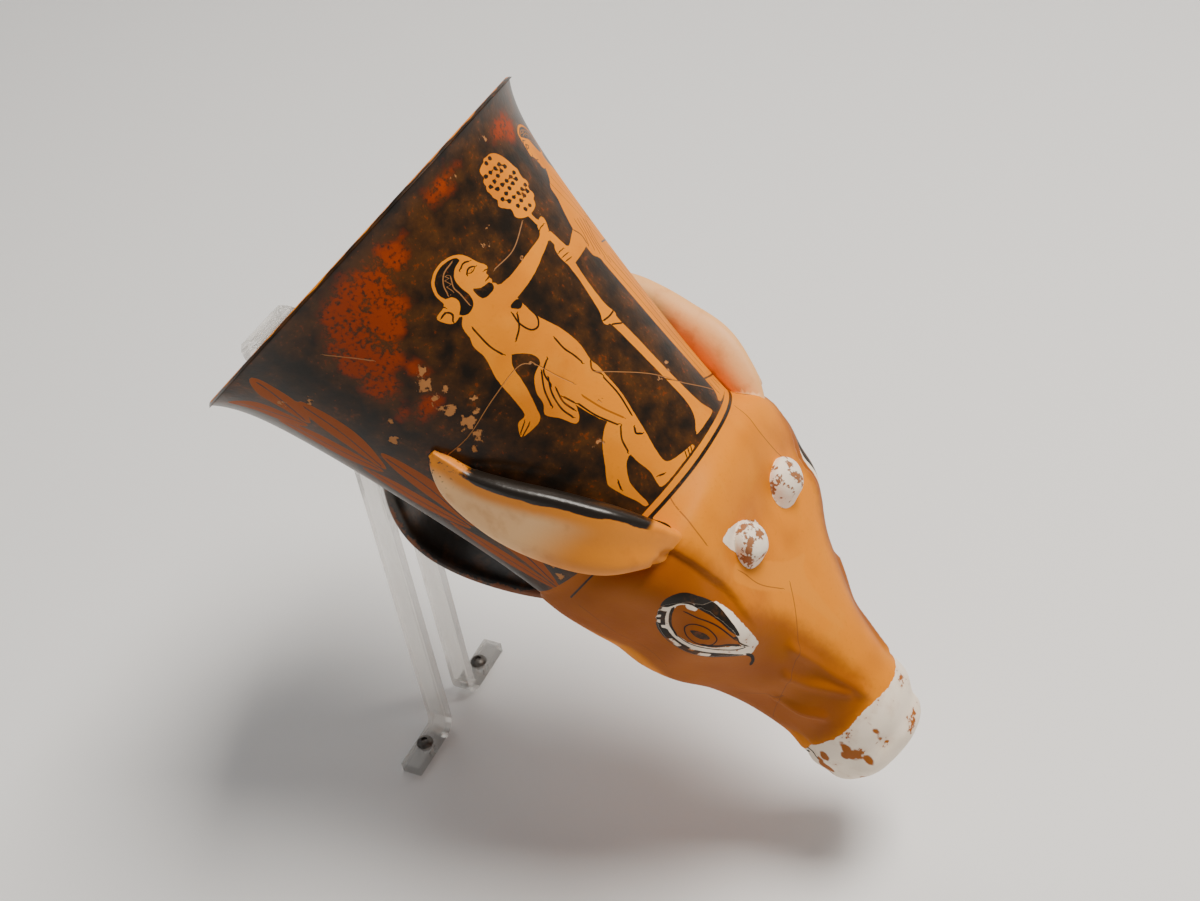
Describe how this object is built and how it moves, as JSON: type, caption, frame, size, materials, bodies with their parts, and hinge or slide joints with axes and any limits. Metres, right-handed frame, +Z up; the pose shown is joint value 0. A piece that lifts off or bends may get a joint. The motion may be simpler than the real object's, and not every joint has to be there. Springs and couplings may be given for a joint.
{
  "type": "rhyton",
  "caption": "Fired clay drinking vessel with a flared bowl ending in a calf's head, strap handle under the throat, held tilted on a clear two-legged stand.",
  "frame": {"origin": "midway between the stand's two feet, on the plane of their undersides", "axes": "+Z up, +X the way the muzzle points seen from above, +Y to the animal's left"},
  "size_m": [0.2026, 0.1218, 0.2433],
  "materials": {
    "fired_clay": "burnished orange clay with glossy black slip and matt white slip",
    "clear_plastic": "clear, polished",
    "dark_steel": "dark, satin"
  },
  "bodies": {
    "root": {"rhyton": "fired_clay", "stand": "clear_plastic", "screw_right": "dark_steel", "screw_left": "dark_steel"}
  },
  "joints": []
}
